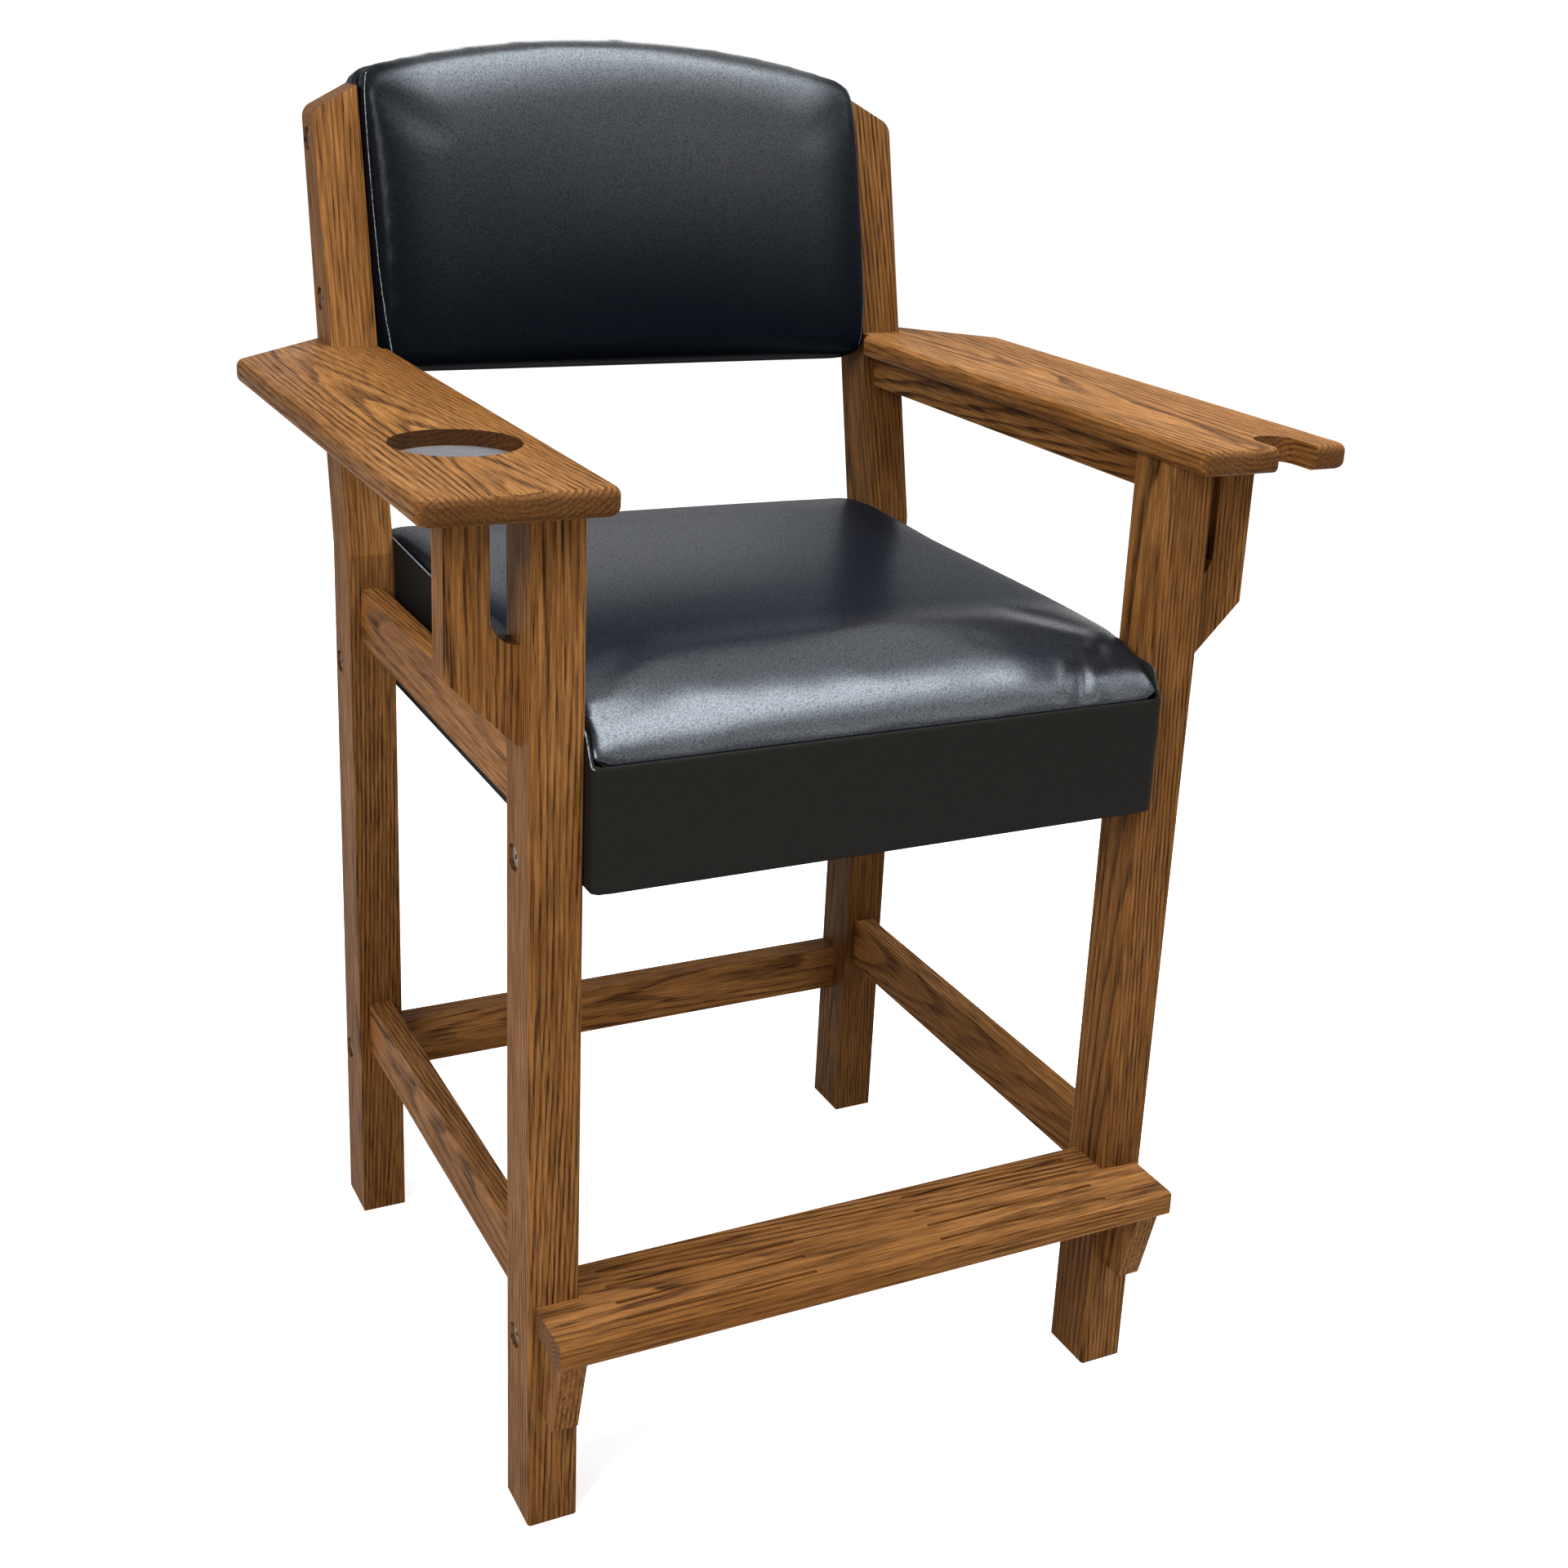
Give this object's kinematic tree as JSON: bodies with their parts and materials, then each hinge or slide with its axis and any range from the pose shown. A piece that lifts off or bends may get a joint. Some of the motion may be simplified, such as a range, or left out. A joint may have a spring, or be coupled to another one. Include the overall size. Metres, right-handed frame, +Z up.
{
  "type": "spectator chair",
  "caption": "Tall wooden armchair with a boxed vinyl seat, arched back pad, footrest, cup recess in one arm and a cue notch in the other.",
  "frame": {"origin": "on the floor under the middle of the outer box", "axes": "+Z up, the sitter faces -Y, +X is on the right of somebody who looks at the front"},
  "size_m": [0.82, 0.7523, 1.2232],
  "materials": {
    "stained_wood": "satin lacquer over brown stain",
    "plain_wood": "unfinished",
    "dowel_wood": "unfinished",
    "black_vinyl": "fine pebble grain, soft sheen",
    "foam": "soft open foam",
    "bronzed_steel": "dark bronze",
    "grey_felt": "flat felt"
  },
  "bodies": {
    "root": {"front_leg_left": "stained_wood", "front_leg_right": "stained_wood", "back_post_left": "stained_wood", "back_post_right": "stained_wood", "side_rail_left": "stained_wood", "side_rail_right": "stained_wood", "side_stretcher_left": "stained_wood", "side_stretcher_right": "stained_wood", "arm_rail_left": "stained_wood", "arm_rail_right": "stained_wood", "arm_left": "stained_wood", "arm_right": "stained_wood", "cue_bracket_left": "stained_wood", "cue_bracket_right": "stained_wood", "cup_liner": "grey_felt", "back_stretcher": "stained_wood", "footrest_plank": "stained_wood", "footrest_rail": "stained_wood", "footrest_bracket_left": "stained_wood", "footrest_bracket_right": "stained_wood", "seat_front_board": "plain_wood", "seat_back_board": "plain_wood", "seat_side_board_left": "plain_wood", "seat_side_board_right": "plain_wood", "seat_corner_blocks": "plain_wood", "seat_deck": "plain_wood", "seat_foam": "foam", "seat_cover": "black_vinyl", "seat_dust_cover": "black_vinyl", "back_core": "plain_wood", "back_foam": "foam", "back_cover": "black_vinyl", "back_rear_panel": "black_vinyl", "connector_bolts": "bronzed_steel", "barrel_nuts": "bronzed_steel", "frame_dowels": "dowel_wood", "wood_screws": "bronzed_steel"}
  },
  "joints": []
}
